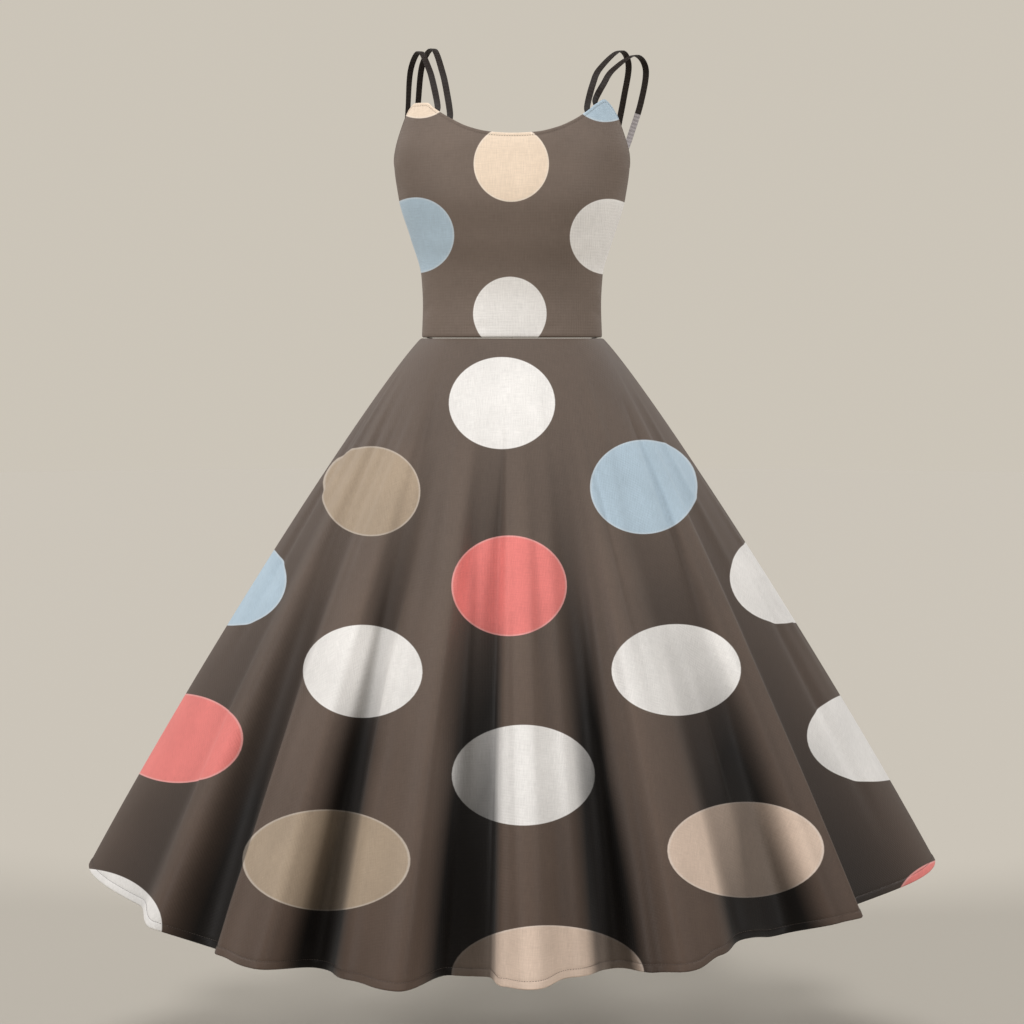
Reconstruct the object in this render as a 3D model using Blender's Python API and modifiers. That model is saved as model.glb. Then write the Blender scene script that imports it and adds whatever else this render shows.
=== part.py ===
"""A sleeveless A-line dress: fitted bodice, waist seam, flared skirt in deep folds, and ribbon straps.

Metres, +Z up. The front faces -Y and +X is on the right of someone who looks at the front.
The origin lies midway between the wearer's shoulders, at the height where the straps rest on them.
Angles go round the body in degrees: 0 is the centre front, 90 the +X side seam, 180 the centre back.
"""

import math

import bmesh
import bpy
from mathutils import Quaternion, Vector

# ---------------------------------------------------------------- driving sizes
SHOULDER_HEIGHT = 0.390   # from the waist seam up to where the straps rest
WAIST_Z = -SHOULDER_HEIGHT
WALL = 0.002              # thickness of the cloth walls
SEAM_GAP = 0.0003         # between pieces that are sewn together

SKIRT_DROP = 0.752        # from the waist seam down to the hem
FLARE_POWER = 0.9         # below 1 the skirt spreads fastest just under the waist
FLARE_BELLY = 0.06        # fullness of the lower half
FOLD_EASE = 0.08          # share of a fold's length in which it fades in
FOLD_SPREAD = math.radians(15)   # how far folds lean to the sides as they near the waist
FOLD_PRESS = 0.4          # sideways share of a fold's push; the rest is front to back

STRAP_WIDTH = 0.0085
STRAP_THICK = 0.0016
STRAP_DEPTHS = (0.014, 0.005, -0.005)   # of the points a strap is sewn along, below the top edge
STRAP_CLEAR = 0.0009      # from the bodice's inner surface to a strap's end
SHOULDER_MIDDLE = 0.300   # height of the shoulder's middle, which the ribbons' faces look away from

SKIRT_ROWS = (0.0, 0.04, 0.10, 0.18, 0.28, 0.40, 0.55, 0.70, 0.85, 1.0)
SKIRT_STEP_FRONT = 3.6    # widest angle between columns of the skirt
SKIRT_STEP_BACK = 4.6
BODICE_ROWS = 9
BODICE_STEP = 7.5
STRAP_STEPS = 3           # lengths of ribbon between two points of its route

# Cross-sections as superellipses: half width, half depth, squareness (2 is an ellipse).
WAIST_SECTION = {"width": 0.125, "depth": 0.090, "square": 2.2}
HEM_SECTION = {"width": 0.598, "depth": 0.525, "square": 1.6}

# The bodice's cross-sections.
# height above the waist seam, half width, depth in front, depth behind, squareness
BODICE_SECTIONS = (
    (0.000, 0.1250, 0.090, 0.090, 2.2),
    (0.045, 0.1235, 0.089, 0.088, 2.2),
    (0.085, 0.1255, 0.094, 0.088, 2.2),
    (0.135, 0.1395, 0.108, 0.091, 2.3),
    (0.190, 0.1560, 0.118, 0.095, 2.4),
    (0.245, 0.1625, 0.112, 0.097, 2.4),
    (0.290, 0.1540, 0.099, 0.095, 2.4),
    (0.335, 0.1400, 0.085, 0.090, 2.4),
)

# The bodice's top edge, all round.
# angle, height above the waist seam
TOP_EDGE = (
    (-90, 0.2360),    # side seam, under the arm
    (-81, 0.2520),
    (-74, 0.2880),
    (-68, 0.3100),
    (-62, 0.3165),    # strap point
    (-48, 0.3155),
    (-42, 0.3090),
    (-28, 0.2925),
    (-18, 0.2810),
    (-8, 0.2740),
    (0, 0.2720),      # lowest point of the neck
    (8, 0.2735),
    (18, 0.2800),
    (28, 0.2905),
    (38, 0.3030),
    (48, 0.3150),
    (58, 0.3215),     # strap point
    (63, 0.3160),
    (70, 0.3000),
    (78, 0.2620),
    (90, 0.2360),     # side seam, under the arm
    (118, 0.2440),
    (180, 0.2200),    # centre back
    (242, 0.2440),
    (270, 0.2360),
)

# The skirt's folds, as they stand at the hem: ridges have a push outwards, valleys inwards.
# angle, push out, extra drop of the hem, roundness of the turn, where it starts (0 waist, 1 hem)
FOLDS = (
    (-90, 0.000, -0.010, 1.6, 0.00),
    (-68, -0.022, 0.000, 1.5, 0.02),
    (-60, 0.008, 0.008, 1.5, 0.02),
    (-52, -0.052, 0.034, 2.0, 0.20),
    (-45, 0.010, 0.015, 1.4, 0.04),
    (-37, 0.035, 0.012, 2.0, 0.06),
    (-30, -0.062, 0.030, 2.0, 0.12),
    (-22.5, 0.010, 0.014, 1.6, 0.10),
    (-15, 0.048, 0.008, 2.0, 0.08),
    (-8.5, -0.060, 0.016, 1.8, 0.10),
    (-3.2, -0.070, 0.018, 1.4, 0.10),
    (-1.5, 0.012, 0.004, 1.4, 0.12),
    (2.5, 0.040, 0.000, 2.0, 0.12),
    (8, 0.000, 0.000, 2.0, 0.15),
    (15, -0.072, 0.016, 2.0, 0.18),
    (20, -0.010, 0.008, 1.6, 0.12),
    (24, 0.028, 0.000, 2.0, 0.08),
    (30, 0.005, -0.006, 1.3, 0.05),
    (37, -0.048, -0.002, 1.8, 0.20),
    (46, -0.065, 0.010, 2.0, 0.28),
    (53, 0.000, -0.010, 1.8, 0.02),
    (57, 0.010, -0.012, 1.3, 0.02),
    (61, -0.032, -0.012, 1.5, 0.02),
    (90, 0.000, -0.016, 1.6, 0.00),
    (107, -0.048, 0.006, 2.0, 0.15),
    (118, 0.022, -0.004, 1.7, 0.06),
    (131, -0.058, 0.012, 2.0, 0.20),
    (143, 0.036, 0.000, 1.9, 0.10),
    (155, -0.066, 0.014, 1.8, 0.14),
    (167, 0.044, 0.002, 2.0, 0.08),
    (180, -0.060, 0.014, 2.0, 0.18),
    (192, 0.040, 0.002, 1.7, 0.10),
    (205, -0.068, 0.016, 2.0, 0.12),
    (219, 0.034, 0.000, 1.9, 0.08),
    (231, -0.056, 0.012, 1.9, 0.22),
    (243, 0.020, -0.002, 1.6, 0.05),
    (253, -0.040, 0.006, 1.9, 0.16),
    (270, 0.000, -0.010, 1.6, 0.00),
)

# The straps' free lengths over the shoulders, from front to back.
# x, y, height above the waist seam, turn of the ribbon's face about the upright
STRAPS = {
    "strap_left_outer": {
        "front_angle": -39.5,
        "back_angle": -115.0,
        "route": (
            (-0.1055, -0.0590, 0.338, 0),
            (-0.1130, -0.0400, 0.364, 0),
            (-0.1270, 0.0000, 0.3915, 10),
            (-0.1410, 0.0370, 0.371, 35),
            (-0.1455, 0.0500, 0.321, 45),
            (-0.1475, 0.0460, 0.275, 30),
        ),
    },
    "strap_left_inner": {
        "front_angle": -29.5,
        "back_angle": -126.0,
        "route": (
            (-0.0865, -0.0690, 0.322, 0),
            (-0.0940, -0.0500, 0.357, 0),
            (-0.1080, -0.0040, 0.3945, 0),
            (-0.1245, 0.0330, 0.378, 25),
            (-0.1315, 0.0560, 0.328, 30),
            (-0.1345, 0.0600, 0.276, 10),
        ),
    },
    "strap_right_inner": {
        "front_angle": 40.0,
        "back_angle": 122.0,
        "route": (
            (0.1085, -0.0600, 0.339, 0),
            (0.1190, -0.0440, 0.363, 0),
            (0.1480, 0.0000, 0.3925, 0),
            (0.1620, 0.0320, 0.377, 0),
            (0.1565, 0.0520, 0.334, 0),
            (0.1470, 0.0560, 0.285, 0),
        ),
    },
    "strap_right_outer": {
        "front_angle": 49.0,
        "back_angle": 106.0,
        "route": (
            (0.1235, -0.0540, 0.341, 0),
            (0.1370, -0.0400, 0.362, 0),
            (0.1690, 0.0040, 0.3870, 0),
            (0.1860, 0.0330, 0.371, 0),
            (0.1800, 0.0420, 0.327, 0),
            (0.1650, 0.0370, 0.280, 0),
        ),
    },
}

# base colour, roughness
MATERIALS = {
    "printed_cloth": ((0.120, 0.090, 0.072), 0.70),
    "strap_ribbon": ((0.022, 0.016, 0.013), 0.55),
}


# ---------------------------------------------------------------- smooth tables
def smooth(rows, place, column):
    """The value of a table's column at a place among its first column, with no overshoot."""
    if place <= rows[0][0]:
        return rows[0][column]
    if place >= rows[-1][0]:
        return rows[-1][column]
    index = next(i for i in range(len(rows) - 1) if place <= rows[i + 1][0])

    def slope(i):
        return (rows[i + 1][column] - rows[i][column]) / (rows[i + 1][0] - rows[i][0])

    def tangent(i):
        if i == 0 or i == len(rows) - 1:
            return slope(min(i, len(rows) - 2))
        before, after = slope(i - 1), slope(i)
        return 0.0 if before * after <= 0 else 2 * before * after / (before + after)

    span = rows[index + 1][0] - rows[index][0]
    t = (place - rows[index][0]) / span
    start, end = rows[index][column], rows[index + 1][column]
    leave, arrive = tangent(index) * span, tangent(index + 1) * span
    return (
        (2 * t**3 - 3 * t**2 + 1) * start
        + (t**3 - 2 * t**2 + t) * leave
        + (3 * t**2 - 2 * t**3) * end
        + (t**3 - t**2) * arrive
    )


def turned(angle):
    """The same angle between -90 and 270, where the tables start and end."""
    return (angle + 90) % 360 - 90


# ---------------------------------------------------------------- the skirt's surface
def section_radius(section, angle):
    """Distance from the axis to a superellipse at an angle in radians."""
    power = section["square"]
    across = (abs(math.sin(angle)) / section["width"]) ** power
    along = (abs(math.cos(angle)) / section["depth"]) ** power
    return (across + along) ** (-1 / power)


def fold_at(angle):
    """Push, extra drop and start of the folds at an angle, between its two table rows."""
    angle = turned(angle)
    before, after = next(
        (a, b) for a, b in zip(FOLDS, FOLDS[1:]) if a[0] <= angle <= b[0]
    )
    t = (angle - before[0]) / (after[0] - before[0])
    near = t ** before[3]
    far = (1 - t) ** after[3]
    blend = near / (near + far)
    return tuple(before[c] + (after[c] - before[c]) * blend for c in (1, 2, 4))


def skirt_point(angle, share):
    """A point of the skirt's outer surface; share is 0 at the waist and 1 at the hem."""
    push, drop, start = fold_at(angle)
    at_hem = math.radians(angle)
    at_waist = at_hem + FOLD_SPREAD * math.sin(2 * at_hem)
    flare = share**FLARE_POWER + FLARE_BELLY * share**2 * (1 - share)
    run = max(0.0, (share - start) / (1 - start))
    growth = run**2 * (1 + FOLD_EASE) / (run + FOLD_EASE)
    waist = section_radius(WAIST_SECTION, at_waist) * (1 - flare)
    hem = section_radius(HEM_SECTION, at_hem) * flare
    aim = Vector((FOLD_PRESS * math.sin(at_hem), -math.cos(at_hem))).normalized()
    return Vector((
        waist * math.sin(at_waist) + hem * math.sin(at_hem) + aim.x * push * growth,
        -waist * math.cos(at_waist) - hem * math.cos(at_hem) + aim.y * push * growth,
        WAIST_Z - (SKIRT_DROP + drop * growth) * share,
    ))


# ---------------------------------------------------------------- the bodice's surface
def bodice_point(angle, height):
    """A point of the bodice's outer surface at a height above the waist seam."""
    sine = math.sin(math.radians(angle))
    cosine = math.cos(math.radians(angle))
    width = smooth(BODICE_SECTIONS, height, 1)
    depth = smooth(BODICE_SECTIONS, height, 2 if cosine >= 0 else 3)
    power = 2 / smooth(BODICE_SECTIONS, height, 4)
    return Vector((
        width * math.copysign(abs(sine) ** power, sine),
        -depth * math.copysign(abs(cosine) ** power, cosine),
        WAIST_Z + height,
    ))


def top_height(angle):
    return smooth(TOP_EDGE, turned(angle), 1)


def bodice_share_point(angle, share):
    """A point of the bodice; share is 0 at the waist seam and 1 at the top edge."""
    return bodice_point(angle, share * top_height(angle))


def inward(surface, angle, along, reach_angle, reach_along):
    """Unit vector from the surface towards the body, across both sides of any seam."""
    across = surface(angle + reach_angle, along) - surface(angle - reach_angle, along)
    low = max(0.0, along - reach_along)
    upright = surface(angle, along + reach_along) - surface(angle, low)
    normal = across.cross(upright).normalized()
    centre = Vector((0, 0, surface(angle, along).z))
    return normal if normal.dot(centre - surface(angle, along)) > 0 else -normal


# ---------------------------------------------------------------- building the pieces
def start_scene(name):
    for thing in list(bpy.data.objects):
        bpy.data.objects.remove(thing)
    collection = bpy.data.collections.new(name)
    bpy.context.scene.collection.children.link(collection)
    return collection


def make_material(name, object_name):
    colour, roughness = MATERIALS[name]
    material = bpy.data.materials.new(object_name)
    material.use_nodes = True
    shader = material.node_tree.nodes["Principled BSDF"]
    shader.inputs["Base Color"].default_value = (*colour, 1.0)
    shader.inputs["Roughness"].default_value = roughness
    shader.inputs["Metallic"].default_value = 0.0
    return material


def add_object(name, mesh, material_name, collection):
    mesh.materials.append(make_material(material_name, name + "_cloth"))
    piece = bpy.data.objects.new(name, mesh)
    collection.objects.link(piece)
    mesh.shade_smooth()
    return piece


def columns_between(first, last, marks, widest):
    """Angles from first to last that include the marks, at most widest apart."""
    stops = [first] + [m for m in marks if first + 0.5 < m < last - 0.5] + [last]
    angles = [first]
    for start, end in zip(stops, stops[1:]):
        count = math.ceil((end - start) / widest)
        angles += [start + (end - start) * k / count for k in range(1, count + 1)]
    return angles


def wall_panel(name, surface, angles, shares, seam_shift, reach, collection):
    """A closed wall of cloth, lofted between unlike sections.

    seam_shift(column, row) moves a point off the seam that it would otherwise touch."""
    build = bmesh.new()
    sides = []
    for depth in (0.0, WALL):
        grid = []
        for row, share in enumerate(shares):
            line = []
            for column, angle in enumerate(angles):
                point = surface(angle, share) + seam_shift(column, row)
                point += inward(surface, angle, share, *reach) * depth
                line.append(build.verts.new(point))
            grid.append(line)
        sides.append(grid)
    outer, inner = sides
    rows, columns = len(shares), len(angles)
    for r in range(rows - 1):
        for c in range(columns - 1):
            corners = ((r, c), (r, c + 1), (r + 1, c + 1), (r + 1, c))
            build.faces.new([outer[i][j] for i, j in corners])
            build.faces.new([inner[i][j] for i, j in reversed(corners)])
    border = [(0, c) for c in range(columns)]
    border += [(r, columns - 1) for r in range(1, rows)]
    border += [(rows - 1, c) for c in range(columns - 2, -1, -1)]
    border += [(r, 0) for r in range(rows - 2, 0, -1)]
    for (i, j), (k, m) in zip(border, border[1:] + border[:1]):
        build.faces.new((outer[i][j], inner[i][j], inner[k][m], outer[k][m]))
    bmesh.ops.recalc_face_normals(build, faces=build.faces)
    mesh = bpy.data.meshes.new(name)
    build.to_mesh(mesh)
    build.free()
    return add_object(name, mesh, "printed_cloth", collection)


def seam_shifter(surface, angles, shares, waist_row, up):
    """Moves a panel's edges half a seam gap back from its neighbours."""

    def shift(column, row):
        move = Vector((0, 0, up * SEAM_GAP / 2)) if row == waist_row else Vector()
        for edge, neighbour in ((0, 1), (len(angles) - 1, len(angles) - 2)):
            if column == edge:
                here = surface(angles[edge], shares[row])
                there = surface(angles[neighbour], shares[row])
                across = Vector((0, 1, 0)) if abs(here.x) > abs(here.y) else Vector((1, 0, 0))
                side = 1 if (there - here).dot(across) > 0 else -1
                move += across * side * SEAM_GAP / 2
        return move

    return shift


def build_skirt(collection):
    marks = [row[0] for row in FOLDS]
    panels = (
        ("skirt_front", -90, 90, SKIRT_STEP_FRONT),
        ("skirt_back_right", 90, 180, SKIRT_STEP_BACK),
        ("skirt_back_left", 180, 270, SKIRT_STEP_BACK),
    )
    for name, first, last, widest in panels:
        angles = columns_between(first, last, marks, widest)
        shift = seam_shifter(skirt_point, angles, SKIRT_ROWS, 0, -1)
        wall_panel(name, skirt_point, angles, SKIRT_ROWS, shift, (0.4, 0.02), collection)


def build_bodice(collection):
    marks = [row[0] for row in TOP_EDGE]
    shares = [r / BODICE_ROWS for r in range(BODICE_ROWS + 1)]
    panels = (
        ("bodice_front", -90, 90),
        ("bodice_back_right", 90, 180),
        ("bodice_back_left", 180, 270),
    )
    for name, first, last in panels:
        angles = columns_between(first, last, marks, BODICE_STEP)
        shift = seam_shifter(bodice_share_point, angles, shares, 0, 1)
        wall_panel(name, bodice_share_point, angles, shares, shift, (1.0, 0.02), collection)


def tucked_points(angle, depths):
    """Points behind the bodice's top edge where a strap's end is sewn, and the way its face looks."""
    inset = WALL + STRAP_CLEAR + STRAP_THICK / 2
    points = []
    for depth in depths:
        share = 1 - depth / top_height(angle)
        aim = inward(bodice_share_point, angle, share, 1.0, 0.02)
        points.append((bodice_share_point(angle, share) + aim * inset, -aim))
    return points


def curve_through(points, steps):
    """Points on a smooth curve through the given ones."""
    padded = [2 * points[0] - points[1], *points, 2 * points[-1] - points[-2]]
    route = []
    for a, b, c, d in zip(padded, padded[1:], padded[2:], padded[3:]):
        for k in range(steps):
            t = k / steps
            route.append(0.5 * (
                2 * b + (c - a) * t + (2 * a - 5 * b + 4 * c - d) * t**2
                + (3 * b - a - 3 * c + d) * t**3
            ))
    return [*route, points[-1]]


def route_points(route):
    """Points of a strap over the shoulder; its face looks away from the shoulder's middle."""
    points = []
    for x, y, height, turn in route:
        face = Vector((0, y, height - SHOULDER_MIDDLE)).normalized()
        face.rotate(Quaternion((0, 0, 1), math.radians(turn)))
        points.append((Vector((x, y, WAIST_Z + height)), face))
    return points


def build_strap(name, collection):
    row = STRAPS[name]
    stations = tucked_points(row["front_angle"], STRAP_DEPTHS)
    stations += route_points(row["route"])
    stations += tucked_points(row["back_angle"], reversed(STRAP_DEPTHS))
    centres = curve_through([place for place, _ in stations], STRAP_STEPS)
    faces = curve_through([face for _, face in stations], STRAP_STEPS)
    build = bmesh.new()
    edges = []
    for index, (centre, face) in enumerate(zip(centres, faces)):
        ahead = centres[min(index + 1, len(centres) - 1)] - centres[max(index - 1, 0)]
        half = ahead.cross(face).normalized() * STRAP_WIDTH / 2
        edges.append((build.verts.new(centre - half), build.verts.new(centre + half)))
    for (a, b), (c, d) in zip(edges, edges[1:]):
        build.faces.new((a, b, d, c))
    bmesh.ops.recalc_face_normals(build, faces=build.faces)
    mesh = bpy.data.meshes.new(name)
    build.to_mesh(mesh)
    build.free()
    strap = add_object(name, mesh, "strap_ribbon", collection)
    thickness = strap.modifiers.new("ribbon", "SOLIDIFY")
    thickness.thickness = STRAP_THICK
    thickness.offset = 0.0


def main():
    collection = start_scene("a_line_dress")
    build_bodice(collection)
    build_skirt(collection)
    for name in STRAPS:
        build_strap(name, collection)


main()
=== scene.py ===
import math

import bpy
import numpy as np
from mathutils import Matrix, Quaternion, Vector


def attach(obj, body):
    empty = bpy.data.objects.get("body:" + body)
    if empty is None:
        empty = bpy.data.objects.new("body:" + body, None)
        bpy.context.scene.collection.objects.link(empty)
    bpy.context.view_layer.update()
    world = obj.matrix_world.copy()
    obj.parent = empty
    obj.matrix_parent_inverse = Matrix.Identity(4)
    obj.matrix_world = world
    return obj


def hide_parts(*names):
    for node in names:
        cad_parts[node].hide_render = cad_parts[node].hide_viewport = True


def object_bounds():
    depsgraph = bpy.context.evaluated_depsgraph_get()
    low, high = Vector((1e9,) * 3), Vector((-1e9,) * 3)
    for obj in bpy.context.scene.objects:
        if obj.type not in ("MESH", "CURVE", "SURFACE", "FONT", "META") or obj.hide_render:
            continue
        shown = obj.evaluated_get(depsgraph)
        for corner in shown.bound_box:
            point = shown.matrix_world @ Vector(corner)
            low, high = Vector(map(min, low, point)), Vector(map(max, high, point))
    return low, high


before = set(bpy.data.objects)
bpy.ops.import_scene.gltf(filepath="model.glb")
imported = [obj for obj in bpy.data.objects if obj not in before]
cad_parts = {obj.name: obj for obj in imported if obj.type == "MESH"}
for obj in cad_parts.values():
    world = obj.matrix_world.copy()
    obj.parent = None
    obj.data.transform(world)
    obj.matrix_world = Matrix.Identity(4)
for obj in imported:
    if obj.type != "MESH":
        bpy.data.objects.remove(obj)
CAD_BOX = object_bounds()

# ---------------------------------------------------------------- sizes shared with the solids
SHOULDER_HEIGHT = 0.390
WAIST_Z = -SHOULDER_HEIGHT
WALL = 0.002
SKIRT_DROP = 0.752
FLARE_POWER = 0.9
FLARE_BELLY = 0.06
FOLD_EASE = 0.08
FOLD_SPREAD = math.radians(15)
FOLD_PRESS = 0.4
STRAP_WIDTH = 0.0085
STRAP_THICK = 0.0016
STRAP_DEPTHS = (0.014, 0.005, -0.005)
STRAP_CLEAR = 0.0009
SHOULDER_MIDDLE = 0.300
WAIST_SECTION = {"width": 0.125, "depth": 0.090, "square": 2.2}
HEM_SECTION = {"width": 0.598, "depth": 0.525, "square": 1.6}

# height above the waist seam, half width, depth in front, depth behind, squareness
BODICE_SECTIONS = (
    (0.000, 0.1250, 0.090, 0.090, 2.2),
    (0.045, 0.1235, 0.089, 0.088, 2.2),
    (0.085, 0.1255, 0.094, 0.088, 2.2),
    (0.135, 0.1395, 0.108, 0.091, 2.3),
    (0.190, 0.1560, 0.118, 0.095, 2.4),
    (0.245, 0.1625, 0.112, 0.097, 2.4),
    (0.290, 0.1540, 0.099, 0.095, 2.4),
    (0.335, 0.1400, 0.085, 0.090, 2.4),
)

# The bodice's top edge: angle, height above the waist seam
TOP_EDGE = (
    (-90, 0.2360), (-81, 0.2520), (-74, 0.2880), (-68, 0.3100), (-62, 0.3165), (-48, 0.3155),
    (-42, 0.3090), (-28, 0.2925), (-18, 0.2810), (-8, 0.2740), (0, 0.2720), (8, 0.2735),
    (18, 0.2800), (28, 0.2905), (38, 0.3030), (48, 0.3150), (58, 0.3215), (63, 0.3160),
    (70, 0.3000), (78, 0.2620), (90, 0.2360), (118, 0.2440), (180, 0.2200), (242, 0.2440),
    (270, 0.2360),
)

# The skirt's folds at the hem: angle, push out, extra drop, roundness of the turn, start
FOLDS = (
    (-90, 0.000, -0.010, 1.6, 0.00), (-68, -0.022, 0.000, 1.5, 0.02), (-60, 0.008, 0.008, 1.5, 0.02),
    (-52, -0.052, 0.034, 2.0, 0.20), (-45, 0.010, 0.015, 1.4, 0.04), (-37, 0.035, 0.012, 2.0, 0.06),
    (-30, -0.062, 0.030, 2.0, 0.12), (-22.5, 0.010, 0.014, 1.6, 0.10), (-15, 0.048, 0.008, 2.0, 0.08),
    (-8.5, -0.060, 0.016, 1.8, 0.10), (-3.2, -0.070, 0.018, 1.4, 0.10), (-1.5, 0.012, 0.004, 1.4, 0.12),
    (2.5, 0.040, 0.000, 2.0, 0.12), (8, 0.000, 0.000, 2.0, 0.15), (15, -0.072, 0.016, 2.0, 0.18),
    (20, -0.010, 0.008, 1.6, 0.12), (24, 0.028, 0.000, 2.0, 0.08), (30, 0.005, -0.006, 1.3, 0.05),
    (37, -0.048, -0.002, 1.8, 0.20), (46, -0.065, 0.010, 2.0, 0.28), (53, 0.000, -0.010, 1.8, 0.02),
    (57, 0.010, -0.012, 1.3, 0.02), (61, -0.032, -0.012, 1.5, 0.02), (90, 0.000, -0.016, 1.6, 0.00),
    (107, -0.048, 0.006, 2.0, 0.15), (118, 0.022, -0.004, 1.7, 0.06), (131, -0.058, 0.012, 2.0, 0.20),
    (143, 0.036, 0.000, 1.9, 0.10), (155, -0.066, 0.014, 1.8, 0.14), (167, 0.044, 0.002, 2.0, 0.08),
    (180, -0.060, 0.014, 2.0, 0.18), (192, 0.040, 0.002, 1.7, 0.10), (205, -0.068, 0.016, 2.0, 0.12),
    (219, 0.034, 0.000, 1.9, 0.08), (231, -0.056, 0.012, 1.9, 0.22), (243, 0.020, -0.002, 1.6, 0.05),
    (253, -0.040, 0.006, 1.9, 0.16), (270, 0.000, -0.010, 1.6, 0.00),
)

# Each strap: where it is sewn in front and behind, and its free route over the shoulder
# x, y, height above the waist seam, turn of the ribbon's face about the upright
STRAPS = {
    "strap_left_outer": (-39.5, -115.0, (
        (-0.1055, -0.0590, 0.338, 0), (-0.1130, -0.0400, 0.364, 0), (-0.1270, 0.0000, 0.3915, 10),
        (-0.1410, 0.0370, 0.371, 35), (-0.1455, 0.0500, 0.321, 45), (-0.1475, 0.0460, 0.275, 30),
    )),
    "strap_left_inner": (-29.5, -126.0, (
        (-0.0865, -0.0690, 0.322, 0), (-0.0940, -0.0500, 0.357, 0), (-0.1080, -0.0040, 0.3945, 0),
        (-0.1245, 0.0330, 0.378, 25), (-0.1315, 0.0560, 0.328, 30), (-0.1345, 0.0600, 0.276, 10),
    )),
    "strap_right_inner": (40.0, 122.0, (
        (0.1085, -0.0600, 0.339, 0), (0.1190, -0.0440, 0.363, 0), (0.1480, 0.0000, 0.3925, 0),
        (0.1620, 0.0320, 0.377, 0), (0.1565, 0.0520, 0.334, 0), (0.1470, 0.0560, 0.285, 0),
    )),
    "strap_right_outer": (49.0, 106.0, (
        (0.1235, -0.0540, 0.341, 0), (0.1370, -0.0400, 0.362, 0), (0.1690, 0.0040, 0.3870, 0),
        (0.1860, 0.0330, 0.371, 0), (0.1800, 0.0420, 0.327, 0), (0.1650, 0.0370, 0.280, 0),
    )),
}

# ---------------------------------------------------------------- sizes of the fine surface
CLOTH = 0.0008            # thickness of the visible cloth
SEAM_GAP = 0.0003
SEAM_ROLL = 0.0014        # how far a panel's edge turns in at a seam
SEAM_REACH = 0.0030       # width of that turn
SEAM_PAINTED_SHADE = 0.30          # painted shade: how much darker the cloth is in that turn
ALLOWANCE = 0.006         # of cloth inside a seam
HEM_DEPTH = 0.0100        # of the turned-up hem
HEM_LIFT = 0.0007         # by which the doubled cloth stands out
HEM_EDGE = 0.0004         # half the width of the step at the top of the hem
HEM_GROOVE = 0.0008       # depth to which the hem's stitches pull the cloth in
CREASE_FADE = 0.05        # height over the hem in which the creases die out
STITCH_PITCH = 0.0034
STITCH_LENGTH = 0.0023
STITCH_WIDTH = 0.0006
NECK_STITCH = 0.0042      # from the top edge down to its row of stitches
NECK_GROOVE = 0.0006      # depth to which those stitches pull the cloth in
NECK_LIFT = 0.0004        # by which the edge above them stands out
SLANT = 0.880             # length of the skirt along the cloth, waist to hem
THREADS_PER_METRE = 1600
WAVES_PER_SCALE = 20      # bands in a metre for each 1 of a wave texture's scale
RIBBON_CROWN = 0.0002
RIBBON_THICK = 0.0010
CURVE_STEPS = 12          # from one point of a strap's route to the next

# Small creases of the skirt, ridges out and troughs in.
# angle at the middle, lean in degrees over its length, share it starts, share it ends, half width
# in degrees, height in metres
SKIRT_CREASES = (
    (-78, 3, 0.10, 0.62, 2.4, -0.0040), (-70, -4, 0.02, 0.34, 3.0, 0.0026), (-64, 2, 0.45, 0.95, 1.6, 0.0038),
    (-56, -3, 0.05, 0.48, 2.6, -0.0030), (-48, 2, 0.55, 0.92, 1.2, -0.0034),
    (-41, -2, 0.10, 0.50, 1.8, 0.0030),
    (-33, 3, 0.03, 0.30, 2.6, -0.0026), (-25.5, -1, 0.30, 0.86, 1.0, 0.0032),
    (-19, 1.5, 0.04, 0.42, 2.0, 0.0024),
    (-12, -1, 0.35, 0.90, 0.9, -0.0030), (-6, 1, 0.02, 0.26, 2.8, -0.0022),
    (0.5, 0.6, 0.38, 0.97, 0.6, 0.0024),
    (5.5, -1, 0.30, 0.80, 0.9, -0.0028), (11, 2, 0.05, 0.36, 2.2, 0.0024),
    (18, -1.5, 0.40, 0.93, 1.1, 0.0036),
    (27, 1.5, 0.12, 0.70, 1.1, -0.0032), (33, -2, 0.04, 0.38, 2.4, 0.0026), (40, 2, 0.48, 0.92, 1.4, 0.0038),
    (50, -2, 0.10, 0.44, 2.4, -0.0034), (58.5, 1, 0.50, 0.97, 0.8, -0.0030), (68, 3, 0.06, 0.52, 2.6, 0.0032),
    (76, -2, 0.40, 0.94, 2.0, -0.0050), (83, 2, 0.20, 0.70, 1.8, 0.0034),
    (97, -2, 0.08, 0.58, 2.2, 0.0034), (104, 2, 0.45, 0.93, 1.5, 0.0040), (112, -3, 0.03, 0.36, 2.8, -0.0026),
    (125, 2, 0.40, 0.88, 1.3, -0.0036), (137, -2, 0.10, 0.56, 2.0, 0.0030), (149, 2, 0.36, 0.92, 1.2, 0.0036),
    (161, -1.5, 0.04, 0.44, 2.2, -0.0028), (172, 1.5, 0.42, 0.95, 1.1, -0.0034),
    (186, -1.5, 0.30, 0.84, 1.2, 0.0034),
    (198, 2, 0.05, 0.40, 2.4, -0.0028), (212, -1.5, 0.40, 0.93, 1.2, 0.0038),
    (225, 2, 0.12, 0.60, 1.9, 0.0030),
    (237, -2, 0.44, 0.94, 1.3, -0.0036), (248, 2, 0.04, 0.42, 2.6, 0.0028),
    (262, -2, 0.30, 0.86, 1.8, -0.0042),
)

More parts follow.
